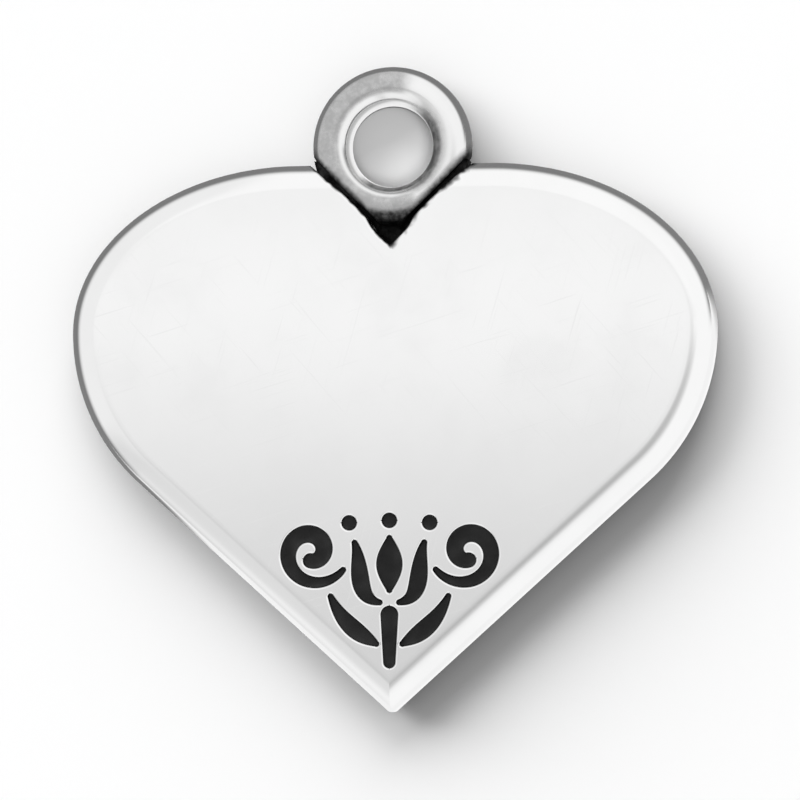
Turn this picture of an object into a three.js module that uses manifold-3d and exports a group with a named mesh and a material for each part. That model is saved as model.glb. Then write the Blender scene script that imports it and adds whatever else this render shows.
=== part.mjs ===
// Heart charm: a flat polished silver heart, a round hanging eye soldered into its notch,
// and a small folk sprig sunk into the face above the tip and filled with black.
// Millimetres. X points right, Y up towards the eye, Z out of the front. The back lies on Z = 0.

import * as THREE from "three";
import { mergeVertices, toCreasedNormals } from "three/addons/utils/BufferGeometryUtils.js";
import Module from "manifold-3d";

const wasm = await Module();
wasm.setup();

// Heart plate, measured from the line that touches both crowns
const HEART_WIDTH = 16.65;
const HEART_HEIGHT = 14.08; // down to where the two lower flanks would meet
const CROWN_OFFSET = 2.5; // crown of a lobe, off the centre line
const SHOULDER_DROP = 4.25; // down to the widest place
const LOWER_RADIUS = 5.2; // arc from the widest place into the lower flank
const PLATE_THICKNESS = 1.3;
const EDGE_WIDTH = 0.65; // of the rounded front and back edges, across the faces
const EDGE_DROP = 0.45; // of the same rounds, down the sides
const TIP_FLAT = 0.12; // width of the small flat that blunts the tip

// Notch between the lobes, a V with sharp edges
const NOTCH_DEPTH = 2.12; // down to where its two walls would meet
const NOTCH_ANGLE = 90; // degrees between its walls
const NOTCH_BOTTOM_RADIUS = 0.12;

// Hanging eye, a ring with a round section that is a little fuller outwards
const EYE_OUTER_DIAMETER = 4.1;
const EYE_HOLE_DIAMETER = 2.1;
const EYE_CREST_DIAMETER = 3; // where the section is thickest
const EYE_THICKNESS = 1.1;
const EYE_FILING = 0.41; // depth of the two flats filed on it to fit the notch

// Solder seam between the eye and the notch
const SEAM_WIDTH = 0.2;
const SEAM_THICKNESS = 0.7;
const POOL_THICKNESS = 0.35; // solder under the eye, from the lower side of the seam
const JOINT_GAP = 0.02;

// Black sprig above the tip
const SPRIG_WIDTH = 5.6;
const SPRIG_HEIGHT = 3.9;
const SPRIG_FOOT_RISE = 1.2; // above the point where the lower flanks would meet
const STROKE_WIDTH = 0.4;
const STROKE_END_WIDTH = 0.1;
const STEM_FOOT_WIDTH = 0.26;
const BUD_WIDTH = 0.62;
const DOT_DIAMETER = 0.34;
const RECESS_DEPTH = 0.35;
const INLAY_DROP = 0.08; // top of the black below the face
const INLAY_GAP = 0.02;

// Facets on each round
const EDGE_FACETS = 4;
const LOBE_FACETS = 14;
const LOWER_FACETS = 7;
const NOTCH_BOTTOM_FACETS = 6;
const EYE_FACETS = 64;
const EYE_SECTION_FACETS = 20;
const STROKE_FACETS = 12;
const STROKE_END_FACETS = 6;
const TENDRIL_FACETS = 32;
const DOT_FACETS = 20;

const QUARTER = Math.PI / 2;
const MID_HEIGHT = PLATE_THICKNESS / 2;
const EYE_RADIUS = EYE_OUTER_DIAMETER / 2;
const CUT_MARGIN = PLATE_THICKNESS; // how far a cutter runs past the faces it cuts
const MERGE_DISTANCE = 1e-5;
const CREASE_ANGLE = Math.PI / 6;

// Materials
const polishedSilver = new THREE.MeshStandardMaterial({ color: 0xe4e4e2, roughness: 0.18, metalness: 1 });
const satinSilver = new THREE.MeshStandardMaterial({ color: 0xd2d2d0, roughness: 0.25, metalness: 1 });
const darkSolder = new THREE.MeshStandardMaterial({ color: 0x1d1d1f, roughness: 0.6, metalness: 0.4 });
const blackInlay = new THREE.MeshStandardMaterial({ color: 0x0c0c0d, roughness: 0.45, metalness: 0.1 });

// Solids

// A closed geometry as a solid that can be joined and cut.
function toSolid(geometry) {
  geometry.deleteAttribute("normal");
  geometry.deleteAttribute("uv");
  const merged = mergeVertices(geometry, MERGE_DISTANCE);
  return new wasm.Manifold(
    new wasm.Mesh({
      numProp: 3,
      vertProperties: new Float32Array(merged.attributes.position.array),
      triVerts: new Uint32Array(merged.index.array),
    }),
  );
}

// A finished solid as a named mesh.
function toMesh(name, solid, material) {
  const { vertProperties, triVerts } = solid.getMesh();
  const geometry = new THREE.BufferGeometry();
  geometry.setAttribute("position", new THREE.BufferAttribute(vertProperties, 3));
  geometry.setIndex(new THREE.BufferAttribute(triVerts, 1));
  const mesh = new THREE.Mesh(toCreasedNormals(geometry, CREASE_ANGLE), material);
  mesh.name = name;
  return mesh;
}

// A straight-sided slab of an outline, from one height to another.
function slab(outline, bottom, top) {
  const geometry = new THREE.ExtrudeGeometry(outline, { depth: top - bottom, bevelEnabled: false });
  return toSolid(geometry.translate(0, 0, bottom));
}

// Points along an arc, both ends included, or its centre alone where it has no radius.
function arcPoints(centre, radius, from, to, steps) {
  const arc = new THREE.EllipseCurve(centre.x, centre.y, radius, radius, from, to, to < from);
  return radius > 0 ? arc.getPoints(steps) : [centre];
}

// Heart outline

const lowerCentre = new THREE.Vector2(HEART_WIDTH / 2 - LOWER_RADIUS, -SHOULDER_DROP);
const tipPoint = new THREE.Vector2(0, -HEART_HEIGHT);
const tipReach = new THREE.Vector2().subVectors(lowerCentre, tipPoint);
const flankAngle = tipReach.angle() - Math.asin(LOWER_RADIUS / tipReach.length());
const tipY = tipPoint.y + (TIP_FLAT / 2) * Math.tan(flankAngle);

// Quarter ellipse from a crown out to the widest place, which is left out.
function lobePoints() {
  const across = HEART_WIDTH / 2 - CROWN_OFFSET;
  const centre = new THREE.Vector2(CROWN_OFFSET, -SHOULDER_DROP);
  const lobe = new THREE.EllipseCurve(centre.x, centre.y, across, SHOULDER_DROP, QUARTER, 0, true);
  return lobe.getPoints(LOBE_FACETS).slice(0, -1);
}

// The heart outline before the notch is cut, level between the crowns.
function heartOutline() {
  const lower = arcPoints(lowerCentre, LOWER_RADIUS, 0, flankAngle - QUARTER, LOWER_FACETS);
  const half = [...lobePoints(), ...lower];
  const mirrored = half.map((point) => new THREE.Vector2(-point.x, point.y)).reverse();
  return new THREE.Shape([...half, tipPoint, ...mirrored]);
}

// Notch

const wallAngle = THREE.MathUtils.degToRad(NOTCH_ANGLE / 2); // of each wall, off the centre line
const eyeY = (SEAM_WIDTH + EYE_RADIUS - EYE_FILING) / Math.sin(wallAngle) - NOTCH_DEPTH;

// Outline of the notch, open to above the eye, with its walls moved inwards by inset.
function notchOutline(inset) {
  const round = Math.max(NOTCH_BOTTOM_RADIUS - inset, 0);
  const bottom = new THREE.Vector2(0, (round + inset) / Math.sin(wallAngle) - NOTCH_DEPTH);
  const top = eyeY + EYE_OUTER_DIAMETER;
  const across = (top + NOTCH_DEPTH) * Math.tan(wallAngle) - inset / Math.cos(wallAngle);
  const foot = arcPoints(bottom, round, wallAngle - 2 * QUARTER, -wallAngle, NOTCH_BOTTOM_FACETS);
  return new THREE.Shape([...foot, new THREE.Vector2(across, top), new THREE.Vector2(-across, top)]);
}

// The notch as a cutter that runs right through the plate.
function notchCutter(inset) {
  return slab(notchOutline(inset), -CUT_MARGIN, PLATE_THICKNESS + CUT_MARGIN);
}

// Sprig

// A place on the sprig, in shares of its half width and its height.
function onSprig(across, up) {
  const x = (across * SPRIG_WIDTH) / 2;
  const y = tipPoint.y + SPRIG_FOOT_RISE + up * SPRIG_HEIGHT;
  return new THREE.Vector2(x, y);
}

// A tendril: a spiral whose radius shrinks by the same share in every turn.
class Tendril extends THREE.Curve {
  constructor(side) {
    super();
    this.side = side;
    this.centre = onSprig(0.72 * side, 0.755);
    this.startRadius = 0.17 * SPRIG_WIDTH;
    this.shrink = (0.6 * STROKE_WIDTH) / this.startRadius;
    this.from = THREE.MathUtils.degToRad(-150);
    this.sweep = THREE.MathUtils.degToRad(425);
  }

  getPoint(share, target = new THREE.Vector2()) {
    const radius = this.startRadius * this.shrink ** share;
    const turn = this.from + share * this.sweep;
    const x = this.centre.x + this.side * radius * Math.cos(turn);
    return target.set(x, this.centre.y + radius * Math.sin(turn));
  }
}

// Outline of a brush stroke: a path with a half width that varies along it, and round ends.
function strokeOutline(path, halfWidth, steps, grow) {
  const left = [];
  const right = [];
  for (let step = 0; step <= steps; step += 1) {
    const share = step / steps;
    const point = path.getPoint(share);
    const along = path.getTangent(share);
    const across = new THREE.Vector2(-along.y, along.x).multiplyScalar(halfWidth(share) + grow);
    left.push(point.clone().add(across));
    right.push(point.clone().sub(across));
  }
  const endCap = roundEnd(path, 1, halfWidth(1) + grow);
  const startCap = roundEnd(path, 0, halfWidth(0) + grow);
  return new THREE.Shape([...right, ...endCap, ...left.reverse(), ...startCap]);
}

// Half circle round one end of a stroke, without the two points that the sides already have.
function roundEnd(path, share, radius) {
  const point = path.getPoint(share);
  const along = path.getTangent(share);
  const heading = Math.atan2(along.y, along.x) + (share === 0 ? Math.PI : 0);
  return arcPoints(point, radius, heading - QUARTER, heading + QUARTER, STROKE_END_FACETS).slice(1, -1);
}

// Half widths along a stroke: a leaf swells in the middle, a stem widens upwards, and a tendril
// swells from its thin start and thins a little at its inner end.
const mix = THREE.MathUtils.lerp;
const leafWidth = (widest) => (share) => mix(STROKE_END_WIDTH, widest, Math.sin(Math.PI * share)) / 2;
const stemWidth = (share) => mix(STEM_FOOT_WIDTH, STROKE_WIDTH, share) / 2;
const tendrilSwell = (share) => Math.sin(0.72 * Math.PI * share ** 0.75);
const tendrilWidth = (share) => mix(STROKE_END_WIDTH, STROKE_WIDTH, tendrilSwell(share)) / 2;

function stem() {
  const path = new THREE.LineCurve(onSprig(0, 0.03), onSprig(0, 0.34));
  return { path, width: stemWidth, steps: 1 };
}

function bud() {
  const path = new THREE.LineCurve(onSprig(0, 0.5), onSprig(0, 0.84));
  return { path, width: leafWidth(BUD_WIDTH), steps: STROKE_FACETS };
}

function petal(side) {
  const path = new THREE.CubicBezierCurve(
    onSprig(0.09 * side, 0.42),
    onSprig(0.33 * side, 0.45),
    onSprig(0.24 * side, 0.65),
    onSprig(0.32 * side, 0.81),
  );
  return { path, width: leafWidth(STROKE_WIDTH), steps: STROKE_FACETS };
}

function leaf(side) {
  const path = new THREE.CubicBezierCurve(
    onSprig(0.12 * side, 0.15),
    onSprig(0.23 * side, 0.2),
    onSprig(0.42 * side, 0.26),
    onSprig(0.54 * side, 0.46),
  );
  return { path, width: leafWidth(STROKE_WIDTH), steps: STROKE_FACETS };
}

function tendril(side) {
  return { path: new Tendril(side), width: tendrilWidth, steps: TENDRIL_FACETS };
}

// Each part of the sprig as an outline that can be moved outwards.
const strokeOf = (stroke) => (grow) => strokeOutline(stroke.path, stroke.width, stroke.steps, grow);
const dotAt = (place) => (grow) =>
  new THREE.Shape(arcPoints(place, DOT_DIAMETER / 2 + grow, 0, 4 * QUARTER, DOT_FACETS).slice(1));

const sprig = {
  inlay_stem: strokeOf(stem()),
  inlay_bud: strokeOf(bud()),
  inlay_petal_left: strokeOf(petal(-1)),
  inlay_petal_right: strokeOf(petal(1)),
  inlay_leaf_left: strokeOf(leaf(-1)),
  inlay_leaf_right: strokeOf(leaf(1)),
  inlay_tendril_left: strokeOf(tendril(-1)),
  inlay_tendril_right: strokeOf(tendril(1)),
  inlay_dot_left: dotAt(onSprig(-0.37, 0.94)),
  inlay_dot_middle: dotAt(onSprig(0, 0.955)),
  inlay_dot_right: dotAt(onSprig(0.37, 0.94)),
};

// Pieces

// The heart plate: its outline with both edges rounded, the notch, the blunted tip, and a recess for
// each black inlay.
function heartPlate() {
  const rounded = new THREE.ExtrudeGeometry(heartOutline(), {
    depth: PLATE_THICKNESS - 2 * EDGE_DROP,
    bevelThickness: EDGE_DROP,
    bevelSize: EDGE_WIDTH,
    bevelOffset: -EDGE_WIDTH,
    bevelSegments: EDGE_FACETS,
  });
  const floor = PLATE_THICKNESS - RECESS_DEPTH;
  let plate = toSolid(rounded.translate(0, 0, EDGE_DROP)).subtract(notchCutter(0)).subtract(tipBlock());
  for (const outline of Object.values(sprig)) {
    plate = plate.subtract(slab(outline(INLAY_GAP), floor, PLATE_THICKNESS + CUT_MARGIN));
  }
  return toMesh("heart_plate", plate, polishedSilver);
}

// A plain block below the tip's flat.
function tipBlock() {
  const side = 2 * CUT_MARGIN;
  const block = new THREE.BoxGeometry(side, side, side);
  return toSolid(block.translate(0, tipY - side / 2, MID_HEIGHT));
}

// The hanging eye: two half ellipses turned round the hole, filed flat where they sit in the notch.
function hangingEye() {
  const crest = EYE_CREST_DIAMETER / 2;
  const section = [];
  for (let step = 0; step <= EYE_SECTION_FACETS; step += 1) {
    const turn = (4 * QUARTER * (step % EYE_SECTION_FACETS)) / EYE_SECTION_FACETS;
    const reach = Math.cos(turn) > 0 ? EYE_RADIUS - crest : crest - EYE_HOLE_DIAMETER / 2;
    const height = (EYE_THICKNESS / 2) * Math.sin(turn);
    section.push(new THREE.Vector2(crest + reach * Math.cos(turn), height));
  }
  const ring = new THREE.LatheGeometry(section, EYE_FACETS).rotateX(QUARTER);
  const filed = toSolid(ring.translate(0, eyeY, MID_HEIGHT)).intersect(notchCutter(SEAM_WIDTH));
  return toMesh("hanging_eye", filed, satinSilver);
}

// The solder seam: a V of solder between the notch and the eye, and a lower pool that closes the pit
// left under the eye.
function solderSeam() {
  const bottom = MID_HEIGHT - SEAM_THICKNESS / 2;
  const top = MID_HEIGHT + SEAM_THICKNESS / 2;
  const reach = eyeDisc(EYE_RADIUS, SEAM_THICKNESS).add(footBlock(bottom, top));
  const arms = reach.subtract(notchCutter(SEAM_WIDTH - JOINT_GAP));
  const clearance = eyeDisc(EYE_RADIUS + JOINT_GAP, SEAM_THICKNESS + CUT_MARGIN);
  const pool = footBlock(bottom, bottom + POOL_THICKNESS).subtract(clearance);
  return toMesh("solder_seam", arms.add(pool).intersect(notchCutter(JOINT_GAP)), darkSolder);
}

// A plain disc round the middle of the eye.
function eyeDisc(radius, thickness) {
  const disc = new THREE.CylinderGeometry(radius, radius, thickness, EYE_FACETS).rotateX(QUARTER);
  return toSolid(disc.translate(0, eyeY, MID_HEIGHT));
}

// A plain block under the eye, from below the notch up to half the eye's radius.
function footBlock(bottom, top) {
  const block = new THREE.BoxGeometry(EYE_RADIUS, NOTCH_DEPTH, top - bottom);
  return toSolid(block.translate(0, eyeY - EYE_RADIUS / 2 - NOTCH_DEPTH / 2, (bottom + top) / 2));
}

// One black inlay, bedded in its recess and just below the face.
function inlay(name, outline) {
  const bottom = PLATE_THICKNESS - RECESS_DEPTH + INLAY_GAP;
  return toMesh(name, slab(outline(0), bottom, PLATE_THICKNESS - INLAY_DROP), blackInlay);
}

const charm = new THREE.Group();
charm.add(heartPlate(), hangingEye(), solderSeam());
for (const [name, outline] of Object.entries(sprig)) {
  charm.add(inlay(name, outline));
}

// The middle of the charm's length lies over the origin.
charm.position.y = -(eyeY + EYE_RADIUS + tipY) / 2;

export default charm;
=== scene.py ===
"""Heart charm, dressed for the camera.

A flat polished silver heart with rounded edges, a round hanging eye soldered into its notch, and a small
folk sprig sunk into the face and filled with black. Shapes are worked out in millimetres, in the frame of
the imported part, and go into the meshes in metres.
"""

import logging
import math
from collections.abc import Callable
from dataclasses import dataclass
from enum import Enum
from functools import cache, cached_property, partial, reduce

import bpy
import numpy as np
from mathutils import Matrix, Vector


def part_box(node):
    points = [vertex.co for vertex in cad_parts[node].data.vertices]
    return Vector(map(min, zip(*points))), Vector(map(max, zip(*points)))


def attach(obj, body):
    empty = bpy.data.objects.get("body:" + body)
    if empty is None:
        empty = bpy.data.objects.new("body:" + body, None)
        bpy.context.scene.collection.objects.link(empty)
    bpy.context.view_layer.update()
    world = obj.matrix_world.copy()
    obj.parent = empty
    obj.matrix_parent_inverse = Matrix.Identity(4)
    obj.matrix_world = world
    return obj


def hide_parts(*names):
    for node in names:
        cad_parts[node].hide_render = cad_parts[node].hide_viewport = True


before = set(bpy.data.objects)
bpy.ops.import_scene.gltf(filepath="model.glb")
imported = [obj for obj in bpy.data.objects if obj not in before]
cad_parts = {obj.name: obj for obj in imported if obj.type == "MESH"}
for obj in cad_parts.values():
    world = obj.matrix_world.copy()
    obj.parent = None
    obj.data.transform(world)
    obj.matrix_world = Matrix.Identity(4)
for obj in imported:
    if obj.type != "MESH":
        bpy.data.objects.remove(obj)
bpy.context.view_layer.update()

MM = 0.001
BODY = "root"
# Mesh attribute for how dark each point is painted: oxide, and painted shade on the eye.
TARNISH_AND_SHADE = "tarnish_and_shade"
THICKNESS = 1.3
QUARTER = math.pi / 2
LOG = logging.getLogger("heart_charm")

Pair = tuple[float, float]
Triple = tuple[float, float, float]
Pairs = tuple[Pair, ...]
Grey = tuple[float, float, float, float]
Array = np.ndarray
Piece = bpy.types.Object
Socket = bpy.types.NodeSocket

MIRROR = np.array([-1.0, 1.0])
SHARE: Pair = (0.0, 1.0)
NOISE_MIDDLE: Pair = (0.3, 0.7)
NOISE_PEAKS: Pair = (0.35, 0.75)
TENDRIL_SPAN = 0.72
TENDRIL_POWER = 0.75
TINY = 1e-6


def ease(value: Array, span: Pair) -> Array:
    """Ease over a span, which may run backwards: 3 v^2 - 2 v^3, with the share v held between 0 and 1."""
    held = np.clip((value - span[0]) / (span[1] - span[0]), 0.0, 1.0)
    return held * held * (3.0 - 2.0 * held)


def rays(angle: Array) -> Array:
    """Unit directions at angles from X, one a row."""
    return np.stack([np.cos(angle), np.sin(angle)], axis=1)


def lift(flat: Array, height: Array) -> Array:
    """Points by row and station, raised to a height for each row or for each point."""
    rise = np.broadcast_to(height.reshape(len(height), -1, 1), (*flat.shape[:2], 1))
    return np.concatenate([flat, rise], axis=2)


def quarter_round(across: float, down: float, steps: int) -> tuple[Array, Array]:
    """A quarter of an ellipse: across * (1 - cos) and down * (1 - sin), over a quarter turn."""
    turn = np.linspace(0.0, QUARTER, steps)
    return across * (1.0 - np.cos(turn)), down * (1.0 - np.sin(turn))


def grid_quads(rows: int, columns: int, loop_rows: bool = False, loop_columns: bool = False) -> Array:
    """Quads of a grid of points, which may close on itself in either direction.

    The point in row i and column j has the number i * columns + j.

    Args:
        rows: rows of points.
        columns: points in each row.
        loop_rows: whether the last row joins the first.
        loop_columns: whether the last column joins the first.

    Returns:
        Four point numbers for each quad.
    """
    here = np.arange(rows * columns).reshape(rows, columns)
    below, beside = np.roll(here, -1, axis=0), np.roll(here, -1, axis=1)
    quads = np.stack([here, below, np.roll(below, -1, axis=1), beside], axis=-1)
    return quads[: rows if loop_rows else -1, : columns if loop_columns else -1].reshape(-1, 4)


@dataclass(frozen=True)
class Shell:
    """A closed surface: points in millimetres, and groups of faces with equally many corners."""

    points: Array
    faces: tuple[Array, ...]

    def volume(self) -> float:
        """Signed volume: each face is cut into a fan, and its triangles make pyramids with the origin."""
        fans = [self.points[group] for group in self.faces]
        return sum(float(np.sum(fan[:, :1] * np.cross(fan[:, 1:-1], fan[:, 2:]))) for fan in fans) / 6.0

    def outward(self) -> list[Array]:
        """The groups of faces, turned outwards."""
        order = -1 if self.volume() < 0.0 else 1
        return [group[:, ::order] for group in self.faces]

    def to_object(self, name: str) -> Piece:
        """Put the surface into a new object at the origin, with its faces turned outwards.

        Args:
            name: name of the object.

        Returns:
            The object.
        """
        mesh = bpy.data.meshes.new(name)
        corners = [face for group in self.outward() for face in group.tolist()]
        mesh.from_pydata((self.points * MM).tolist(), [], corners)
        mesh.update()
        piece = bpy.data.objects.new(name, mesh)
        bpy.context.scene.collection.objects.link(piece)
        return piece


def tube(rows: Array) -> Shell:
    """Close a profile carried along a path: rows loop round the profile, and a face ends either side.

    Args:
        rows: points by place on the profile and by station along the path.

    Returns:
        The closed surface.
    """
    around, stations = rows.shape[:2]
    quads = grid_quads(around, stations, loop_rows=True)
    start = np.arange(around)[None, :] * stations
    return Shell(rows.reshape(-1, 3), (quads, start[:, ::-1], start + stations - 1))


def join(shells: list[Shell]) -> Shell:
    """Gather several surfaces into one, all turned outwards.

    Args:
        shells: the surfaces, which don't touch each other.

    Returns:
        One surface.
    """
    starts = np.cumsum([0] + [len(shell.points) for shell in shells])
    faces = [group + start for shell, start in zip(shells, starts) for group in shell.outward()]
    return Shell(np.vstack([shell.points for shell in shells]), tuple(faces))


def soften(piece: Piece, sharp_degrees: float) -> None:
    """Shade a piece smooth, except over edges that turn by more than an angle, in degrees."""
    piece.data.shade_smooth()
    piece.data.set_sharp_from_angle(angle=math.radians(sharp_degrees))


def set_tarnish_and_shade(piece: Piece, darkness: Callable[[Array], Array]) -> None:
    """Keep how dark each point of a piece is painted, oxide and painted shade alike, for its finish to read.

    Args:
        piece: the object.
        darkness: gives 0 or less for clean metal to 1 for black, from places in millimetres.
    """
    flat = np.empty(len(piece.data.vertices) * 3)
    piece.data.vertices.foreach_get("co", flat)
    layer = piece.data.attributes.new(TARNISH_AND_SHADE, "FLOAT", "POINT")
    layer.data.foreach_set("value", darkness(flat.reshape(-1, 3) / MM).astype(np.float32))


class NodeSheet:
    """A node tree that short calls fill."""

    def __init__(self, tree: bpy.types.NodeTree) -> None:
        """Empty a tree and keep it."""
        tree.nodes.clear()
        self.tree = tree

    def add(self, kind: str, values: dict[str | int, object], **settings: object) -> bpy.types.Node:
        """Add a node.

        Args:
            kind: Blender's name for it.
            values: for each input, a constant, or the output that it is linked to.
            settings: the node's own settings.

        Returns:
            The node.
        """
        node = self.tree.nodes.new(kind)
        for name, setting in settings.items():
            setattr(node, name, setting)
        for name, value in values.items():
            if isinstance(value, Socket):
                self.tree.links.new(value, node.inputs[name])
            else:
                node.inputs[name].default_value = value
        return node

    @cached_property
    def place(self) -> Socket:
        """Place on the piece, in millimetres."""
        return self.scaled(self.add("ShaderNodeTexCoord", {}).outputs["Object"], (1 / MM, 1 / MM, 1 / MM))

    def scaled(self, vector: Socket, scale: Triple, turn: float = 0.0) -> Socket:
        """A vector turned about Z, by degrees, and stretched along each axis."""
        values = {"Vector": vector, "Rotation": (0, 0, math.radians(turn)), "Scale": 1.0 / np.array(scale)}
        return self.add("ShaderNodeMapping", values, vector_type="TEXTURE").outputs["Vector"]

    def noise(self, scale: float, detail: float, roughness: float = 0.5, way: Socket | None = None) -> Socket:
        """Cloudy noise from 0 to 1, by its clouds to the unit, its finer layers and how strong those are."""
        values = {"Vector": way or self.place, "Scale": scale, "Detail": detail, "Roughness": roughness}
        return self.add("ShaderNodeTexNoise", values).outputs[0]

    def remap(self, value: Socket, old: Pair, new: Pair) -> Socket:
        """Carry a value smoothly from an old range to a new one, and hold it inside that."""
        values = {"Value": value, "From Min": old[0], "From Max": old[1], "To Min": new[0], "To Max": new[1]}
        return self.add("ShaderNodeMapRange", values, interpolation_type="SMOOTHSTEP").outputs["Result"]

    def combine(self, operation: str, first: Socket, second: Socket | float) -> Socket:
        """Combine two numbers by one of Blender's operations, such as ADD, MULTIPLY or MAXIMUM."""
        return self.add("ShaderNodeMath", {0: first, 1: second}, operation=operation).outputs[0]

    def along(self, vector: Socket, direction: Triple) -> Socket:
        """How far a vector reaches along a direction: their dot product."""
        values = {0: vector, 1: direction}
        return self.add("ShaderNodeVectorMath", values, operation="DOT_PRODUCT").outputs["Value"]

    def ramp(self, value: Socket, stops: Pairs) -> Socket:
        """Follow a soft curve through grey levels.

        Args:
            value: place on the curve.
            stops: places and their grey levels.

        Returns:
            The grey level.
        """
        span = (stops[0][0], stops[-1][0])
        share = self.add("ShaderNodeMapRange", {"Value": value, "From Min": span[0], "From Max": span[1]})
        node = self.add("ShaderNodeValToRGB", {"Fac": share.outputs["Result"]})
        node.color_ramp.interpolation = "EASE"
        elements = node.color_ramp.elements
        while len(elements) < len(stops):
            elements.new(0.5)
        for element, (place, level) in zip(elements, stops):
            element.position = (place - span[0]) / (span[1] - span[0])
            element.color = grey(level)
        return node.outputs["Color"]

    def mix(self, share: Socket, first: Socket | Grey, second: Socket | Grey) -> Socket:
        """Blend two colours, from a share of 0 for the first to 1 for the second."""
        return self.add("ShaderNodeMix", {0: share, 6: first, 7: second}, data_type="RGBA").outputs[2]

    def shades(self, noise: Socket, greys: Pair) -> Socket:
        """A colour between two greys, by the peaks of a noise."""
        return self.mix(self.remap(noise, NOISE_PEAKS, SHARE), grey(greys[0]), grey(greys[1]))

    def times(self, first: Socket, second: Socket) -> Socket:
        """Two colours multiplied."""
        values = {0: 1.0, 6: first, 7: second}
        return self.add("ShaderNodeMix", values, data_type="RGBA", blend_type="MULTIPLY").outputs[2]

    def bump(self, height: Socket, micrometres: float, under: Socket | None = None) -> Socket:
        """The surface direction of a pattern, by how high its 1 stands, over another direction if given."""
        values = {"Height": height, "Distance": micrometres * MM * MM} | ({"Normal": under} if under else {})
        return self.add("ShaderNodeBump", values).outputs["Normal"]


def grey(level: float) -> Grey:
    """A neutral colour of one level."""
    return (level, level, level, 1.0)


def new_finish(name: str) -> tuple[bpy.types.Material, NodeSheet]:
    """Start a material.

    Args:
        name: its name.

    Returns:
        The material and its empty node sheet.
    """
    material = bpy.data.materials.new(name)
    material.use_nodes = True
    return material, NodeSheet(material.node_tree)


@dataclass(frozen=True)
class Silver:
    """Silver with soft waves, hairline scratches, a breath of oxide and painted shade, and black left by the
    solder.
    """

    name: str
    greys: Pair = (0.9, 0.88)
    roughness: Pair = (0.11, 0.15)
    black: float = 0.02
    black_rise: Pair = (0.1, 0.9)
    black_roughness: float = 0.3
    clouds_per_mm: float = 0.55
    worn_clouds: Pair = (0.45, 0.85)
    cloud_wear: float = 0.6
    waves_per_mm: float = 0.3
    wave_um: float = 1.2
    scratch_um: float = 0.03
    scratch_turns: tuple[float, ...] = (17.0, 74.0, 131.0)
    scratch_stretch: Triple = (0.5, 22.0, 1.0)
    scratch_peaks: Pair = (0.66, 0.76)
    ragged: float = 0.0
    rags_per_mm: float = 3.2
    blots_per_mm: float = 5.5
    mottle: Pair = (0.88, 1.08)

    @cache
    def material(self) -> bpy.types.Material:
        """Wire the finish up: noise for waves, clouds and scratches, and the oxide and painted shade kept on
        the mesh.

        Returns:
            The material, made once.
        """
        material, sheet = new_finish(self.name)
        clouds = sheet.noise(self.clouds_per_mm, detail=4.0)
        scratches = self._scratches(sheet)
        dark = self._dark(sheet)
        metal = sheet.shades(clouds, self.greys)
        colour = sheet.mix(sheet.remap(dark, SHARE, SHARE), metal, grey(self.black))
        worn = sheet.remap(clouds, self.worn_clouds, (0.0, self.cloud_wear))
        polish = sheet.remap(sheet.combine("MAXIMUM", scratches, worn), SHARE, self.roughness)
        dulled = sheet.remap(dark, self.black_rise, (0.0, self.black_roughness))
        roughness = sheet.combine("ADD", polish, dulled)
        waves = sheet.bump(sheet.noise(self.waves_per_mm, detail=1.0), self.wave_um)
        normal = sheet.bump(scratches, self.scratch_um, waves)
        values = {"Base Color": colour, "Metallic": 1.0, "Roughness": roughness, "Normal": normal}
        shader = sheet.add("ShaderNodeBsdfPrincipled", values)
        sheet.add("ShaderNodeOutputMaterial", {"Surface": shader.outputs[0]})
        return material

    def _dark(self, sheet: NodeSheet) -> Socket:
        """The oxide and painted shade kept on the mesh, with a ragged edge or a mottled depth from noise.

        Args:
            sheet: where the nodes go.

        Returns:
            0 or less on clean metal to 1 or more on black.
        """
        tarnish_and_shade = sheet.add("ShaderNodeAttribute", {}, attribute_name=TARNISH_AND_SHADE).outputs["Fac"]
        if self.ragged > 0.0:
            rags = sheet.noise(self.rags_per_mm, detail=1.0)
            edge = sheet.remap(rags, NOISE_MIDDLE, (-self.ragged, self.ragged / 2))
            return sheet.combine("ADD", tarnish_and_shade, edge)
        blots = sheet.noise(self.blots_per_mm, detail=4.0, roughness=0.6)
        return sheet.combine("MULTIPLY", tarnish_and_shade, sheet.remap(blots, NOISE_MIDDLE, self.mottle))

    def _scratches(self, sheet: NodeSheet) -> Socket:
        """Hairlines in a few directions, each the peaks of a noise drawn out along its own way.

        Args:
            sheet: where the nodes go.

        Returns:
            0 on plain metal to 1 in a scratch.
        """
        ways = [sheet.scaled(sheet.place, self.scratch_stretch, turn) for turn in self.scratch_turns]
        noises = [sheet.noise(scale=1.0, detail=1.0, way=way) for way in ways]
        lines = [sheet.remap(noise, self.scratch_peaks, SHARE) for noise in noises]
        return reduce(partial(sheet.combine, "MAXIMUM"), lines)


@dataclass(frozen=True)
class DarkFill:
    """A dark grainy fill: blackened solder, or the black of the sunk strokes."""

    name: str
    greys: Pair
    roughness: Pair
    shades_per_mm: float
    grains_per_mm: float
    grain_um: float
    sheen: float = 0.25

    @cache
    def material(self) -> bpy.types.Material:
        """Wire the finish up: coarse noise for shade, fine noise for grain and gloss.

        Returns:
            The material, made once.
        """
        material, sheet = new_finish(self.name)
        shade = sheet.noise(self.shades_per_mm, detail=3.0)
        grain = sheet.noise(self.grains_per_mm, detail=3.0, roughness=0.6)
        values = {
            "Base Color": sheet.shades(shade, self.greys),
            "Roughness": sheet.remap(grain, NOISE_MIDDLE, self.roughness),
            "Specular IOR Level": self.sheen,
            "Normal": sheet.bump(grain, self.grain_um),
        }
        shader = sheet.add("ShaderNodeBsdfPrincipled", values)
        sheet.add("ShaderNodeOutputMaterial", {"Surface": shader.outputs[0]})
        return material


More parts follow.
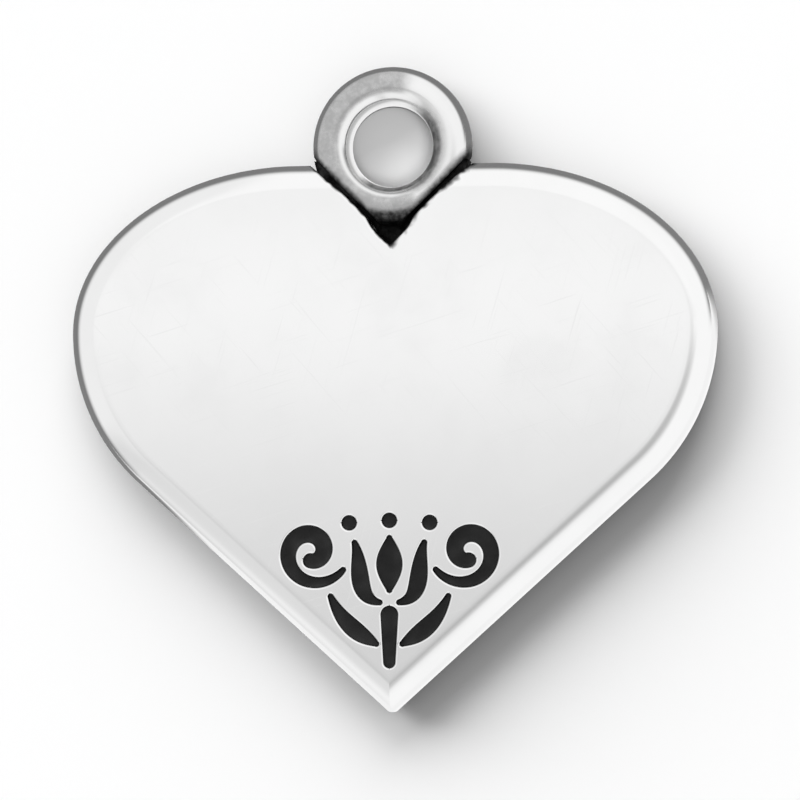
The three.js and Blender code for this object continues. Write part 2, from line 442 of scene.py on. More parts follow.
class Finish(Enum):
    """The finishes of the charm."""

    POLISHED = Silver("polished_silver", ragged=0.5)
    SATIN = Silver("satin_silver", greys=(0.86, 0.82), roughness=(0.16, 0.24))
    SOLDER = DarkFill(
        "dark_solder", greys=(0.003, 0.06), roughness=(0.5, 0.8),
        shades_per_mm=3.5, grains_per_mm=14.0, grain_um=8.0, sheen=0.08,
    )
    INLAY = DarkFill(
        "black_inlay", greys=(0.004, 0.014), roughness=(0.35, 0.65),
        shades_per_mm=2.25, grains_per_mm=9.0, grain_um=3.0,
    )

    def dress(self, piece: Piece, node: str) -> None:
        """Give a piece this finish, hide the solid it stands for, and let it ride with the charm.

        Args:
            piece: the object.
            node: the solid's name.
        """
        piece.data.materials.clear()
        piece.data.materials.append(self.value.material())
        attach(piece, BODY)
        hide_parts(node)


@dataclass(frozen=True)
class HeartOutline:
    """Outline of the heart before its notch is cut, in millimetres from the line that touches both crowns."""

    crown_y: float
    width: float = 16.65
    height: float = 14.08
    crown_offset: float = 2.5
    shoulder_drop: float = 4.25
    lower_radius: float = 5.2
    tip_radius: float = 0.154
    least_radius: float = 0.004
    tip_steps: int = 12
    spacing: float = 0.09

    @property
    def flank_turn(self) -> float:
        """Direction of the right lower flank, from X, so that it touches the lower arc."""
        across, up = self.width / 2 - self.lower_radius, self.height - self.shoulder_drop
        return math.atan2(up, across) - math.asin(self.lower_radius / math.hypot(across, up))

    def _bend(self, centre: Pair, radii: Pair, start: float, end: float) -> Array:
        """An elliptic arc, the end left out: centre + (cos, sin) * radii, facing (cos, sin) / radii.

        Args:
            centre: middle of the ellipse.
            radii: its two radii.
            start: angle it begins at.
            end: angle it stops before.

        Returns:
            One row of point and outward direction for each station.
        """
        steps = math.ceil(abs(end - start) * max(radii) / self.spacing)
        ray = rays(np.linspace(start, end, steps, endpoint=False))
        out = ray / radii
        out /= np.linalg.norm(out, axis=1, keepdims=True)
        return np.hstack([ray * radii + centre, out])

    def rims(self, inset: Array) -> Array:
        """The outline moved inwards, once for each inset, clockwise from the middle of the top.

        The level crown, the lobe and the lower arc move straight into the metal. The tip's radius shrinks by
        the inset, down to a hair, with its middle on the centre line. A flank joins both:
        start + share * (end - start).

        Args:
            inset: how far each outline lies inside the first.

        Returns:
            Points by inset and station.
        """
        way = self.flank_turn - QUARTER
        lobe_radii = (self.width / 2 - self.crown_offset, self.shoulder_drop)
        lower = (self.width / 2 - self.lower_radius, -self.shoulder_drop)
        lobe_arc = self._bend((self.crown_offset, -self.shoulder_drop), lobe_radii, QUARTER, 0.0)
        lower_arc = self._bend(lower, (self.lower_radius, self.lower_radius), 0.0, way)
        across = np.arange(0.0, self.crown_offset, self.spacing)
        crown = np.stack([across, 0.0 * across, 0.0 * across, np.ones_like(across)], axis=1)
        curve = np.vstack([crown, lobe_arc, lower_arc])
        upper = curve[:, :2] - inset[:, None, None] * curve[:, 2:]
        start = (self.lower_radius - inset)[:, None] * (math.cos(way), math.sin(way)) + lower
        round_radius = np.maximum(self.tip_radius - inset, self.least_radius)
        middle = (round_radius + inset) / math.cos(self.flank_turn) - self.height
        angle = np.linspace(way, -QUARTER, self.tip_steps + 1)
        tip = round_radius[:, None, None] * rays(angle) + middle[:, None, None] * (0.0, 1.0)
        steps = math.ceil(np.linalg.norm(tip[0, 0] - start[0]) / self.spacing)
        share = np.linspace(0.0, 1.0, steps, endpoint=False)[:, None]
        flank = start[:, None] + share * (tip[:, :1] - start[:, None])
        half = np.concatenate([upper, flank, tip], axis=1)
        return np.concatenate([half, half[:, -2:0:-1] * MIRROR], axis=1) + (0.0, self.crown_y)


@dataclass(frozen=True)
class Notch:
    """The V between the lobes, with hardly rounded edges and walls that lean in a little towards the eye."""

    crown_y: float
    depth: float = 2.12
    wall_turn: float = math.radians(45.0)
    wall_steps: int = 40
    bottom_radius: float = 0.12
    bottom_steps: int = 13
    lip: float = 0.08
    lip_steps: int = 7
    bulge: float = 0.1
    bulge_rise: Pair = (0.45, 0.95)
    bulge_fall: Pair = (2.8, 1.7)
    stains: Pair = (0.07, 0.15)
    margin: float = 0.3

    def swell(self, along: Array) -> Array:
        """How far a wall leans in, by the way along it from the bottom: a soft step up times one down."""
        return self.bulge * ease(along, self.bulge_rise) * ease(along, self.bulge_fall)

    def cutter(self) -> Shell:
        """The V that is cut out of the plate, which opens in a quarter round towards the face and the back.

        At each height the walls stand back by lip * (1 - cos), less their swell, and an arc makes the bottom.

        Returns:
            The closed surface.
        """
        cos, sin = math.cos(self.wall_turn), math.sin(self.wall_turn)
        spread, climb = quarter_round(self.lip, self.lip, self.lip_steps)
        grow = np.concatenate([spread[-1:], spread[::-1], spread, spread[-1:]])
        height = np.concatenate([[-self.margin], climb[::-1], THICKNESS - climb, [THICKNESS + self.margin]])
        angle = np.linspace(self.wall_turn - math.pi, -self.wall_turn, self.bottom_steps)
        middle = np.array([0.0, self.crown_y - self.depth + self.bottom_radius / sin])
        foot = middle + (self.bottom_radius + grow)[:, None, None] * rays(angle)
        across = (self.margin + self.depth) * math.tan(self.wall_turn) + grow / cos
        corner = across[:, None, None] * (1.0, 0.0) + (0.0, self.crown_y + self.margin)
        step = corner - foot[:, -1:]
        share = np.linspace(0.0, 1.0, self.wall_steps)[1:-1, None]
        length = np.linalg.norm(step, axis=2, keepdims=True)
        right = foot[:, -1:] + step * share + self.swell(length * share) * (-cos, sin)
        flat = np.concatenate([foot, right, corner, corner * MIRROR, right[:, ::-1] * MIRROR], axis=1)
        return tube(lift(flat, height).swapaxes(0, 1))

    def tarnish_and_shade(self, points: Array) -> Array:
        """How dark the metal beside the solder is: it falls with the distance, faster at the left.

        Args:
            points: places on the plate.

        Returns:
            1 for black on the wall, and 0 or less for clean, at each place.
        """
        cos, sin = math.cos(self.wall_turn), math.sin(self.wall_turn)
        x, up = points[:, 0], points[:, 1] - self.crown_y + self.depth
        rise = up * sin - self.swell(up * cos + np.abs(x) * sin)
        return 1.0 + np.minimum((rise + x * cos) / self.stains[0], (rise - x * cos) / self.stains[1])


class Side(Enum):
    """A side of the charm, seen from the front, as the sign of X."""

    LEFT = -1
    RIGHT = 1


class Swell(Enum):
    """How a brush stroke's width goes along it."""

    STEM = "widens evenly"
    LEAF = "swells in the middle"
    TENDRIL = "swells after a thin start and thins a little at its inner end"

    def half_widths(self, share: Array, thin: float, wide: float) -> Array:
        """Half the width along a stroke: thin + (wide - thin) * swell, halved.

        Args:
            share: places along the stroke, from 0 to 1.
            thin: the least width.
            wide: the greatest width.

        Returns:
            The half widths.
        """
        swells = {
            Swell.STEM: share,
            Swell.LEAF: np.sin(math.pi * share),
            Swell.TENDRIL: np.sin(TENDRIL_SPAN * math.pi * share**TENDRIL_POWER),
        }
        return (thin + (wide - thin) * swells[self]) / 2


@dataclass(frozen=True)
class Stroke:
    """One brush stroke of the sprig: a centre line, half widths along it, and round ends."""

    node: str
    centre: Array
    half: Array
    cap_steps: int = 12
    cap_turn: float = math.radians(87.0)

    def carry(self, across: Array, grow: Array, height: Array) -> Shell:
        """Carry a profile along the stroke: centre + side * across * (half width + grow), at a height.

        Past either end the centre runs on by half width * sin and the half width shrinks by cos.

        Args:
            across: places on the profile, from -1 on one side to 1 on the other.
            grow: how much wider the stroke is there, in millimetres.
            height: height there, in millimetres.

        Returns:
            The closed surface.
        """
        way = np.gradient(self.centre, axis=0)
        way /= np.linalg.norm(way, axis=1, keepdims=True)
        turn = np.linspace(0.0, self.cap_turn, self.cap_steps + 1)[1:]
        half = self.half + grow[:, None]
        first, last = half[:, :1], half[:, -1:]
        before = self.centre[0] - way[0] * (first * np.sin(turn[::-1]))[..., None]
        after = self.centre[-1] + way[-1] * (last * np.sin(turn))[..., None]
        middle = np.broadcast_to(self.centre, (len(grow), *self.centre.shape))
        line = np.concatenate([before, middle, after], axis=1)
        reach = np.concatenate([first * np.cos(turn[::-1]), half, last * np.cos(turn)], axis=1)
        ways = np.pad(way, ((self.cap_steps, self.cap_steps), (0, 0)), mode="edge")
        side = ways[:, ::-1] * MIRROR
        return tube(lift(line + side * (reach * across[:, None])[..., None], height))


@dataclass(frozen=True)
class Sprig:
    """The black folk sprig above the tip: stem, bud, two petals, two leaves, two tendrils and three dots."""

    tip_y: float
    foot_rise: float = 1.2
    width: float = 5.6
    height: float = 3.9
    stroke_widths: Pair = (0.1, 0.4)
    stem_widths: Pair = (0.26, 0.4)
    bud_widths: Pair = (0.1, 0.62)
    tendril_place: Pair = (0.72, 0.755)
    tendril_start: float = 0.17
    tendril_end: float = 0.6
    tendril_from: float = math.radians(-150.0)
    tendril_sweep: float = math.radians(425.0)
    dot_diameter: float = 0.34
    dot_reach: float = 0.001
    middle_dot: Pair = (0.0, 0.955)
    side_dot: Pair = (0.37, 0.94)
    recess_depth: float = 0.35
    recess_margin: float = 0.2
    fill_drop: float = 0.09
    fill_creep: float = 0.05
    fill_floor: float = 0.02
    fill_gap: float = 0.004
    fill_steps: int = 13
    wall_gap: float = 0.014
    lip: float = 0.055
    lip_steps: int = 5
    steps: int = 40
    spiral_steps: int = 120
    sharp_degrees: float = 50.0

    def place(self, across: float, up: float) -> Array:
        """A place on the sprig, in shares of its half width and its height."""
        return np.array([across * self.width / 2, self.tip_y + self.foot_rise + up * self.height])

    def _line(self, node: str, points: Pairs, swell: Swell, widths: Pair) -> Stroke:
        """A stroke along a Bezier curve: each point weighed by its Bernstein term.

        Args:
            node: the solid it stands for.
            points: two or four places on the sprig.
            swell: how its width goes.
            widths: its least and greatest width.

        Returns:
            The stroke.
        """
        share = np.linspace(0.0, 1.0, self.steps + 1)
        corners = np.stack([self.place(*point) for point in points])
        order = len(points) - 1
        weights = [math.comb(order, k) * share**k * (1.0 - share) ** (order - k) for k in range(order + 1)]
        return Stroke(node, np.stack(weights, axis=1) @ corners, swell.half_widths(share, *widths))

    def _tendril(self, node: str, side: Side) -> Stroke:
        """A stroke along a spiral whose radius shrinks by the same share in every turn.

        Args:
            node: the solid it stands for.
            side: where on the sprig it is.

        Returns:
            The stroke.
        """
        share = np.linspace(0.0, 1.0, self.spiral_steps + 1)
        start, end = self.tendril_start * self.width, self.tendril_end * self.stroke_widths[1]
        radius = start * (end / start) ** share
        turn = self.tendril_from + self.tendril_sweep * share
        spiral = radius[:, None] * rays(turn) * (side.value, 1.0)
        widths = Swell.TENDRIL.half_widths(share, *self.stroke_widths)
        across, up = self.tendril_place
        return Stroke(node, self.place(across * side.value, up) + spiral, widths)

    def _dot(self, node: str, across: float, up: float) -> Stroke:
        """A round dot at a place on the sprig: a stroke of hardly any length."""
        ends = self.place(across, up) + [[-self.dot_reach, 0.0], [self.dot_reach, 0.0]]
        return Stroke(node, ends, np.full(2, self.dot_diameter / 2))

    def strokes(self) -> list[Stroke]:
        """Draw all strokes of the sprig.

        Returns:
            The strokes, those on the centre line first.
        """
        stem, bud = ((0.0, 0.03), (0.0, 0.34)), ((0.0, 0.5), (0.0, 0.84))
        petal = ((0.09, 0.42), (0.33, 0.45), (0.24, 0.65), (0.32, 0.81))
        leaf = ((0.12, 0.15), (0.23, 0.2), (0.42, 0.26), (0.54, 0.46))
        made = [
            self._line("inlay_stem", stem, Swell.STEM, self.stem_widths),
            self._line("inlay_bud", bud, Swell.LEAF, self.bud_widths),
            self._dot("inlay_dot_middle", *self.middle_dot),
        ]
        for side in Side:
            name = side.name.lower()
            for kind, curve in (("petal", petal), ("leaf", leaf)):
                points = tuple((across * side.value, up) for across, up in curve)
                made.append(self._line(f"inlay_{kind}_{name}", points, Swell.LEAF, self.stroke_widths))
            made.append(self._tendril(f"inlay_tendril_{name}", side))
            made.append(self._dot(f"inlay_dot_{name}", self.side_dot[0] * side.value, self.side_dot[1]))
        return made

    def cutters(self, strokes: list[Stroke]) -> Shell:
        """The strokes as they are sunk into the plate, with a lip that opens in a quarter round.

        Args:
            strokes: the strokes of the sprig.

        Returns:
            One surface round all of them.
        """
        spread, climb = quarter_round(self.lip, self.lip, self.lip_steps)
        grow = self.wall_gap + np.concatenate([[0.0], spread, spread[-1:]])
        height = THICKNESS + np.concatenate([[-self.recess_depth], -climb, [self.recess_margin]])
        across = np.repeat([-1.0, 1.0], len(grow))
        grow, height = np.concatenate([grow, grow[::-1]]), np.concatenate([height, height[::-1]])
        return join([stroke.carry(across, grow, height) for stroke in strokes])

    def fill(self, stroke: Stroke) -> None:
        """The black in one stroke: its top hangs between the walls and creeps up them with the fourth power.

        Args:
            stroke: the stroke.
        """
        top = np.linspace(-1.0, 1.0, self.fill_steps)
        crown = THICKNESS - self.fill_drop + self.fill_creep * top**4
        floor = np.full(2, THICKNESS - self.recess_depth + self.fill_floor)
        across = np.concatenate([top, [1.0, -1.0]])
        height = np.concatenate([crown, floor])
        grow = np.full(len(across), self.wall_gap - self.fill_gap)
        piece = stroke.carry(across, grow, height).to_object(stroke.node.replace("inlay", "fill"))
        soften(piece, self.sharp_degrees)
        Finish.INLAY.dress(piece, stroke.node)


@dataclass(frozen=True)
class HeartPlate:
    """The flat heart, with rounded edges, the notch and the sunk strokes."""

    outline: HeartOutline
    notch: Notch
    edge_width: float = 0.65
    edge_drop: float = 0.45
    edge_steps: int = 24
    middle_drop: float = 5.0
    face_rings: tuple[float, ...] = (0.2, 0.4, 0.6, 0.75, 0.87, 0.95, 0.985)
    sharp_degrees: float = 6.5

    def shell(self) -> Shell:
        """The uncut plate on a grid: stations round the heart, rows from the face's middle to the back's.

        On the face and the back a row is the rim drawn in towards the middle. Over an edge the rim moves in
        by width * (1 - sin) and down by drop * (1 - cos), a quarter of an ellipse.

        Returns:
            The closed surface.
        """
        drop, over = quarter_round(self.edge_drop, self.edge_width, self.edge_steps + 1)
        rim = self.outline.rims(np.concatenate([over, over[::-1]]))
        middle = np.array([0.0, self.outline.crown_y - self.middle_drop])
        share = np.array(self.face_rings)[:, None, None]
        face = middle + (rim[0] - middle) * share
        rear = middle + (rim[-1] - middle) * share[::-1]
        flat = np.concatenate([face, rim, rear])
        rings = np.zeros(len(face))
        height = np.concatenate([rings + THICKNESS, THICKNESS - drop, drop[::-1], rings])
        points = lift(flat, height).reshape(-1, 3)
        rows, stations = flat.shape[:2]
        poles = np.array([[*middle, THICKNESS], [*middle, 0.0]])
        here, last = np.arange(stations), (rows - 1) * stations
        after = np.roll(here, -1)
        face_fan = np.stack([np.full(stations, len(points)), here, after], axis=1)
        rear_fan = np.stack([last + here, np.full(stations, len(points) + 1), last + after], axis=1)
        quads = grid_quads(rows, stations, loop_columns=True)
        return Shell(np.vstack([points, poles]), (quads, face_fan, rear_fan))

    def build(self, strokes: Shell) -> None:
        """Make the plate, cut the notch, sink the strokes into it and darken it beside the solder.

        Args:
            strokes: the sunk strokes.
        """
        piece = self.shell().to_object("plate")
        cutter = join([strokes, self.notch.cutter()]).to_object("cutter")
        cut = piece.modifiers.new("cuts", "BOOLEAN")
        cut.operation, cut.solver, cut.object = "DIFFERENCE", "MANIFOLD", cutter
        whole = piece.data
        sunk = piece.evaluated_get(bpy.context.evaluated_depsgraph_get())
        piece.data = bpy.data.meshes.new_from_object(sunk)
        piece.modifiers.clear()
        bpy.data.meshes.remove(whole)
        bpy.data.meshes.remove(cutter.data)
        soften(piece, self.sharp_degrees)
        set_tarnish_and_shade(piece, self.notch.tarnish_and_shade)
        Finish.POLISHED.dress(piece, "heart_plate")


@dataclass(frozen=True)
class HangingEye:
    """The ring that the charm hangs on: a round section, fuller outwards, and two flats for the notch."""

    centre_y: float
    flat_turn: float
    outer_radius: float = 2.05
    hole_radius: float = 1.05
    crest_radius: float = 1.5
    thickness: float = 1.1
    middle_height: float = 0.65
    fullness: float = 2.8
    filing: float = 0.41
    filing_softness: float = 0.02
    stain: float = 0.26
    pit: float = 0.9
    pit_radius: Pair = (1.52, 1.8)
    pit_arc: Pair = (0.84, 0.96)
    patina_and_shade: float = 0.46
    patina_and_shade_turn: float = math.radians(185.0)
    patina_and_shade_start: Pair = (1.27, 1.39)
    patina_and_shade_end: Pair = (1.95, 1.83)
    patina_and_shade_arc: Pair = (-0.55, -0.2)
    front: Pair = (0.76, 0.88)
    shade: float = 1.02
    shade_slope: float = 1.9
    shade_turn: float = math.radians(-10.0)
    shade_arc: Pair = (-0.05, 0.95)
    line: float = 0.76
    line_turn: float = math.radians(-40.0)
    line_radius: Pair = (1.26, 1.18)
    line_arc: Pair = (-0.3, 0.3)
    steps: int = 240
    section_steps: int = 72
    sharp_degrees: float = 40.0

    @property
    def flat_depth(self) -> float:
        """Distance from the middle of the eye to its flats."""
        return self.outer_radius - self.filing

    def flats(self) -> Array:
        """Directions from the middle of the eye to its two flats."""
        across, down = math.sin(self.flat_turn), -math.cos(self.flat_turn)
        return np.array([[across, down], [-across, down]])

    def flat_distance(self, way: Array) -> Array:
        """How far the nearer flat lies in unit directions from the eye's middle, one a row."""
        return (self.flat_depth / np.maximum(way @ self.flats().T, TINY)).min(axis=1)

    def build(self) -> None:
        """Turn the round section about the hole, and press what passes a flat back onto it.

        The section is crest + reach * swell * cos across and half the thickness * swell * sin up, with a
        shorter reach towards the hole than outwards. The swell is (|cos|^n + |sin|^n)^(-1/n), where n is the
        fullness outwards and 2 towards the hole. The press is a soft step:
        softness * log(1 + exp(excess / softness)).
        """
        section = np.linspace(0.0, 2 * math.pi, self.section_steps, endpoint=False)
        turn = np.linspace(0.0, 2 * math.pi, self.steps, endpoint=False)
        cos, sin = np.cos(section), np.sin(section)
        outward, inward = self.outer_radius - self.crest_radius, self.crest_radius - self.hole_radius
        reach = np.where(cos > 0.0, outward, inward)
        fullness = np.where(cos > 0.0, self.fullness, 2.0)
        swell = (np.abs(cos) ** fullness + np.abs(sin) ** fullness) ** (-1.0 / fullness)
        radius = self.crest_radius + reach * swell * cos
        ring = radius[:, None, None] * rays(turn)
        for way in self.flats():
            excess = ring @ way - self.flat_depth
            press = self.filing_softness * np.logaddexp(0.0, excess / self.filing_softness)
            ring = ring - way * press[..., None]
        rise = self.middle_height + self.thickness / 2 * swell * sin
        points = lift(ring + (0.0, self.centre_y), rise)
        quads = grid_quads(self.section_steps, self.steps, loop_rows=True, loop_columns=True)
        piece = Shell(points.reshape(-1, 3), (quads,)).to_object("eye")
        soften(piece, self.sharp_degrees)
        set_tarnish_and_shade(piece, self._tarnish_and_shade)
        Finish.SATIN.dress(piece, "hanging_eye")

    def _tarnish_and_shade(self, points: Array) -> Array:
        """Darkness painted on the ring: black by flats and pit, grey at the left, painted shade in the hole
        at the right.

        The black falls with the distance from the flat. The rest goes by the distance from the middle, and is
        weighed by the way round: black over the pit, grey on the left that is part oxide and part painted
        shade, painted shade that fades from the hole outwards at the right, and a thin line of painted shade
        in the hole, below and at the right.

        Args:
            points: places on the ring.

        Returns:
            0 for clean to 1 for black, at each place.
        """
        flat = points[:, :2] - (0.0, self.centre_y)
        past = (flat @ self.flats().T).max(axis=1) - self.flat_depth
        radius = np.linalg.norm(flat, axis=1)
        turn = np.arctan2(flat[:, 1], flat[:, 0])
        soot = np.clip(1.0 + past / self.stain, 0.0, 1.0)
        under = self.pit * ease(radius, self.pit_radius) * ease(-np.sin(turn), self.pit_arc)
        # Grey on the outer slope at the left: part oxide, part painted shade on the side that faces the dark
        # left.
        patina_and_shade = self.patina_and_shade * ease(radius, self.patina_and_shade_start) * ease(radius, self.patina_and_shade_end)
        patina_and_shade *= ease(np.cos(turn - self.patina_and_shade_turn), self.patina_and_shade_arc)
        front = ease(points[:, 2], self.front)
        # Painted shade on the inside of the hole at the right, fading outwards, kept to the upper part.
        shade = np.clip(self.shade - self.shade_slope * (radius - self.hole_radius), 0.0, 1.0)
        shade = shade * front * ease(np.cos(turn - self.shade_turn), self.shade_arc)
        # A thin line of painted shade in the hole, below and at the right, also kept to the upper part.
        line = self.line * front * ease(radius, self.line_radius)
        line *= ease(np.cos(turn - self.line_turn), self.line_arc)
        return np.maximum.reduce([soot, under, patina_and_shade, shade, line])


@dataclass(frozen=True)
class SolderSeam:
    """The blackened solder between the notch and the eye, with a pit under the eye."""

    eye: HangingEye
    notch: Notch
    width: float = 0.2
    foot: float = 0.3
    crown: float = 1.0
    pit: float = 0.65
    pit_turn: float = math.radians(24.0)
    pit_rise: Pair = (0.35, 1.35)
    pit_bottom: float = 0.4
    end_turn: float = math.radians(79.0)
    sag: float = 0.06
    overlap: float = 0.012
    side_tuck: float = 3 * overlap
    stations: int = 161
    section_steps: int = 11
    sharp_degrees: float = 45.0

    def build(self) -> None:
        """Carry a profile round under the eye, from the notch's wall towards the eye's middle.

        The wall is the flat's distance * (flat's depth + width - swell of the notch) / flat's depth, up to
        the notch's bottom and no further out than the eye itself. The profile ends in the eye. Its top hangs
        between both by a parabola, and sinks to the pit right under the eye.
        """
        eye, notch = self.eye, self.notch
        turn = np.linspace(-self.end_turn, self.end_turn, self.stations)
        way = np.stack([np.sin(turn), -np.cos(turn)], axis=1)
        flat = eye.flat_distance(way)
        depth = eye.flat_depth + self.width
        lean = notch.swell(depth * (1.0 + np.tan(np.abs(turn) - notch.wall_turn)))
        wall = flat * (depth - lean) / (depth - self.width)
        bottom = eye.centre_y - notch.crown_y + notch.depth - self.pit_bottom * notch.bottom_radius
        beside = np.where(np.abs(turn) > self.pit_turn, eye.outer_radius - self.side_tuck, bottom)
        start = np.minimum(wall, beside) + self.overlap
        end = np.minimum(flat, eye.outer_radius) - self.overlap
        share = np.linspace(0.0, 1.0, self.section_steps)
        across = np.concatenate([share, share[::-1]])
        distance = start + (end - start) * across[:, None]
        crown = self.pit + (self.crown - self.pit) * ease(np.abs(turn) / self.pit_turn, self.pit_rise)
        top = crown - self.sag * (1.0 - (2.0 * share[:, None] - 1.0) ** 2)
        rise = np.concatenate([top, np.full_like(top, self.foot)])
        spread = way * distance[..., None] + (0.0, eye.centre_y)
        piece = tube(lift(spread, rise)).to_object("solder")
        soften(piece, self.sharp_degrees)
        Finish.SOLDER.dress(piece, "solder_seam")


@dataclass(frozen=True)
class Studio:
    """White table, soft light from the upper left, and a camera almost straight above the face.

    The light tent that the metal shows is grey level by direction: a roof by the Y, a left wall by a slanted
    way, an even right wall, a strip by the X, and near the horizon a dark belt by the Z. The table shows the
    metal that belt too.
    """

    eye_y: float
    lens: float = 210.0
    distance: float = 119.6
    target: Triple = (0.185, -0.30, 0.65)
    tilt: float = math.radians(9.0)
    tilt_towards: float = math.radians(-25.0)
    nearest: float = 1.0
    lamp_strength: float = 2.68
    lamp_height: float = math.radians(24.0)
    lamps_from: Pair = (math.radians(144.0), math.radians(94.0))
    lamp_spread: float = math.radians(50.0)
    ambient: float = 0.36
    glow_power: float = 0.05
    glow_radius: float = 1.2
    glow_blend: float = 0.6
    glow_source: float = 0.1
    glow_distance: float = 60.0
    glow_aim: Pair = (-0.2, 0.2)
    table_white: float = 0.95
    table_size: float = 3000.0
    table_drop: float = 0.01
    hole_edge: Pair = (1.5, 1.9)
    hole_way: Triple = (0.94, -0.34, 0.0)
    hole_span: Pair = (-0.3, 0.5)
    hole_light: Pair = (1.0, 0.6)
    belt_way: Triple = (-0.39, 0.92, 0.0)
    belt_edge: Pair = (-0.36, -0.1)
    belt_table: Pairs = ((-10.0, 1.0), (-2.6, 1.0), (-0.6, 0.24), (10.0, 0.22))
    belt: Pairs = ((0.0, 0.22), (0.08, 0.25), (0.19, 0.45), (0.3, 0.8), (0.46, 1.0), (1.0, 1.0))
    left_edge: Pair = (-0.3, -0.2)
    left_way: Triple = (-0.5, 0.87, 0.0)
    left_wall: Pairs = (
        (-0.3, 1.0), (-0.15, 1.0), (-0.12, 0.9), (-0.08, 0.8), (0.06, 0.79),
        (0.1, 0.84), (0.14, 0.92), (0.17, 0.95), (0.5, 0.95),
    )
    right_edge: Pair = (0.15, 0.4)
    right_wall: float = 1.04
    strip_edge: Pair = (0.07, 0.13)
    strip: Pairs = ((-0.5, 1.0), (-0.07, 1.0), (0.01, 0.84), (0.08, 0.84), (0.2, 1.0), (1.0, 1.0))
    roof: Pairs = (
        (-0.5, 1.0), (-0.33, 0.95), (-0.22, 0.76), (-0.14, 0.6), (-0.06, 0.63), (0.0, 0.68), (0.03, 0.74),
        (0.055, 0.88), (0.07, 1.0), (0.087, 1.15), (0.107, 0.95), (0.13, 0.99), (0.17, 1.06), (0.5, 1.06),
    )

    def build(self) -> None:
        """Set the table, the light and the camera up."""
        bpy.context.scene.view_settings.view_transform = "Standard"
        bpy.context.scene.cycles.caustics_reflective = False
        self._table()
        self._lamps()
        self._room()
        self._camera()

    def _table(self) -> None:
        """A white table with the charm's shadow. Metal sees it dark behind the charm and light in the eye."""
        side, low = self.table_size / 2 * MM, -self.table_drop * MM
        corners = [(-side, -side, low), (side, -side, low), (side, side, low), (-side, side, low)]
        mesh = bpy.data.meshes.new("table")
        mesh.from_pydata(corners, [], [[0, 1, 2, 3]])
        table = bpy.data.objects.new("table", mesh)
        bpy.context.scene.collection.objects.link(table)
        material, sheet = new_finish("white_table")
        behind = sheet.ramp(sheet.along(sheet.place, self.belt_way), self.belt_table)
        ends = {0: sheet.place, 1: (0.0, self.eye_y, 0.0)}
        from_eye = sheet.add("ShaderNodeVectorMath", ends, operation="DISTANCE")
        outside = sheet.remap(from_eye.outputs["Value"], self.hole_edge, SHARE)
        path = sheet.add("ShaderNodeLightPath", {})
        white = sheet.add("ShaderNodeBsdfDiffuse", {"Color": grey(self.table_white)})
        start, end = (self.hole_way[1] * self.eye_y + reach for reach in self.hole_span)
        hole = sheet.remap(sheet.along(sheet.place, self.hole_way), (start, end), self.hole_light)
        # For glossy rays the table glows: a painted reflection, dark behind the charm and bright in and round
        # the eye's hole.
        seen = sheet.add("ShaderNodeEmission", {"Color": sheet.mix(outside, hole, behind)})
        parts = {0: path.outputs["Is Glossy Ray"], 1: white.outputs[0], 2: seen.outputs[0]}
        sheet.add("ShaderNodeOutputMaterial", {"Surface": sheet.add("ShaderNodeMixShader", parts).outputs[0]})
        mesh.materials.append(material)

    def _lamps(self) -> None:
        """Two soft lamps, and over the eye the light that its wall throws into its hole. Metal shows none."""
        level, up = math.cos(self.lamp_height), math.sin(self.lamp_height)
        for way in self.lamps_from:
            light = bpy.data.lights.new("soft_lamp", "SUN")
            light.energy = self.lamp_strength
            light.angle = self.lamp_spread
            self._hang(light, Vector((level * math.cos(way), level * math.sin(way), up)))
        glow = bpy.data.lights.new("eye_glow", "SPOT")
        glow.energy = self.glow_power
        glow.spot_size = 2.0 * math.atan2(self.glow_radius, self.glow_distance)
        glow.spot_blend = self.glow_blend
        glow.shadow_soft_size = self.glow_source * MM
        aim = Vector((self.glow_aim[0], self.eye_y + self.glow_aim[1], 0.0))
        self._hang(glow, self._back()).location = (aim + self._back() * self.glow_distance) * MM

    def _hang(self, light: bpy.types.Light, source: Vector) -> Piece:
        """Hang a lamp up so that it shines away from the direction it comes from.

        Args:
            light: the lamp's light.
            source: direction from the charm to the lamp.

        Returns:
            The lamp.
        """
        lamp = bpy.data.objects.new(light.name, light)
        lamp.visible_glossy = False
        lamp.rotation_euler = source.to_track_quat("Z", "Y").to_euler()
        bpy.context.scene.collection.objects.link(lamp)
        return lamp

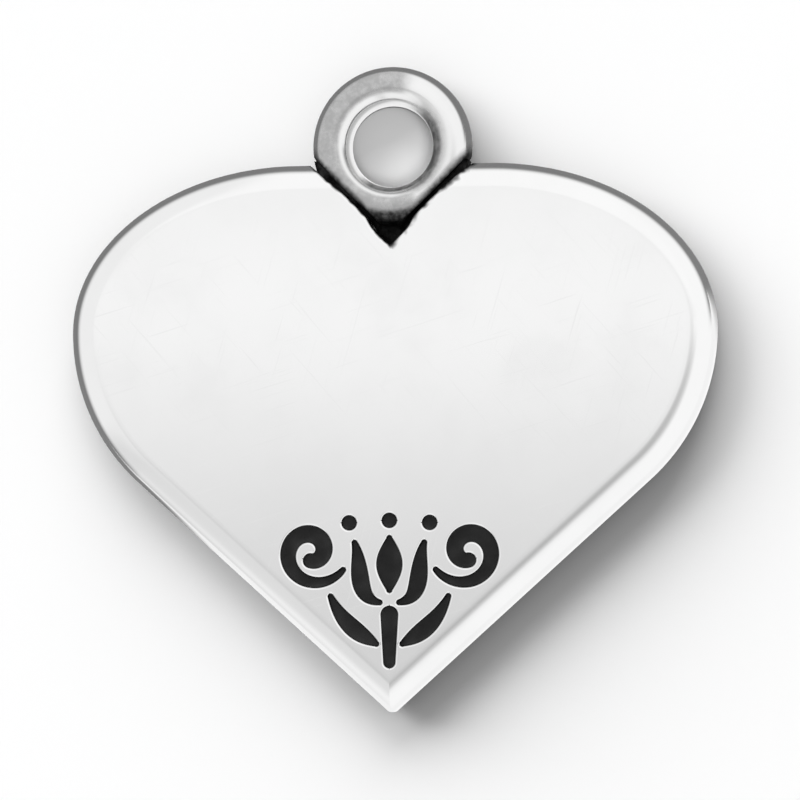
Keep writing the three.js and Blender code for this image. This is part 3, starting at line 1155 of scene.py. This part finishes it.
    def _room(self) -> None:
        """White round the table, even light on dull surfaces, and for metal the light tent."""
        world = bpy.data.worlds.new("light_tent")
        world.use_nodes = True
        world.cycles.sampling_method = "NONE"
        sheet = NodeSheet(world.node_tree)
        way = sheet.add("ShaderNodeTexCoord", {}).outputs["Object"]
        x, y, z = sheet.add("ShaderNodeSeparateXYZ", {0: way}).outputs
        roof = sheet.ramp(y, self.roof)
        left = sheet.remap(x, self.left_edge, (1.0, 0.0))
        wall = sheet.ramp(sheet.along(way, self.left_way), self.left_wall)
        right = sheet.remap(x, self.right_edge, SHARE)
        below = sheet.remap(y, self.strip_edge, (1.0, 0.0))
        strip = sheet.mix(below, grey(1.0), sheet.ramp(x, self.strip))
        behind = sheet.remap(sheet.along(way, self.belt_way), self.belt_edge, SHARE)
        belt = sheet.mix(behind, grey(1.0), sheet.ramp(z, self.belt))
        walls = sheet.mix(right, sheet.mix(left, roof, wall), grey(self.right_wall))
        tent = sheet.times(sheet.times(walls, strip), belt)
        path = sheet.add("ShaderNodeLightPath", {})
        dull_or_metal = sheet.mix(path.outputs["Is Glossy Ray"], grey(self.ambient), tent)
        seen, through = path.outputs["Is Camera Ray"], path.outputs["Is Transmission Ray"]
        colour = sheet.mix(sheet.combine("MAXIMUM", seen, through), dull_or_metal, grey(1.0))
        background = sheet.add("ShaderNodeBackground", {"Color": colour})
        sheet.add("ShaderNodeOutputWorld", {"Surface": background.outputs[0]})
        bpy.context.scene.world = world

    def _back(self) -> Vector:
        """Direction from the charm to the camera."""
        level, way = math.sin(self.tilt), self.tilt_towards
        return Vector((level * math.cos(way), level * math.sin(way), math.cos(self.tilt)))

    def _camera(self) -> None:
        """The camera, tilted a little from straight above, with Y upright in the picture."""
        back = self._back()
        right = Vector((0.0, 1.0, 0.0)).cross(back).normalized()
        turn = Matrix((right, back.cross(right), back)).transposed().to_4x4()
        lens = bpy.data.cameras.new("camera")
        lens.lens = self.lens
        lens.clip_start, lens.clip_end = self.nearest * MM, 2.0 * self.table_size * MM
        camera = bpy.data.objects.new("camera", lens)
        camera.matrix_world = Matrix.Translation((Vector(self.target) + back * self.distance) * MM) @ turn
        bpy.context.scene.collection.objects.link(camera)
        bpy.context.scene.camera = camera


def main() -> None:
    """Build the charm's pieces in order, then the studio round them."""
    logging.basicConfig(level=logging.INFO, format="%(name)s: %(message)s")
    plate_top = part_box("heart_plate")[1].y / MM
    outline = HeartOutline(plate_top)
    notch = Notch(plate_top)
    sprig = Sprig(plate_top - outline.height)
    strokes = sprig.strokes()
    HeartPlate(outline, notch).build(sprig.cutters(strokes))
    for stroke in strokes:
        sprig.fill(stroke)
    eye = HangingEye(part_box("hanging_eye")[1].y / MM - HangingEye.outer_radius, notch.wall_turn)
    eye.build()
    SolderSeam(eye, notch).build()
    Studio(eye.centre_y).build()


if __name__ == "__main__":
    main()
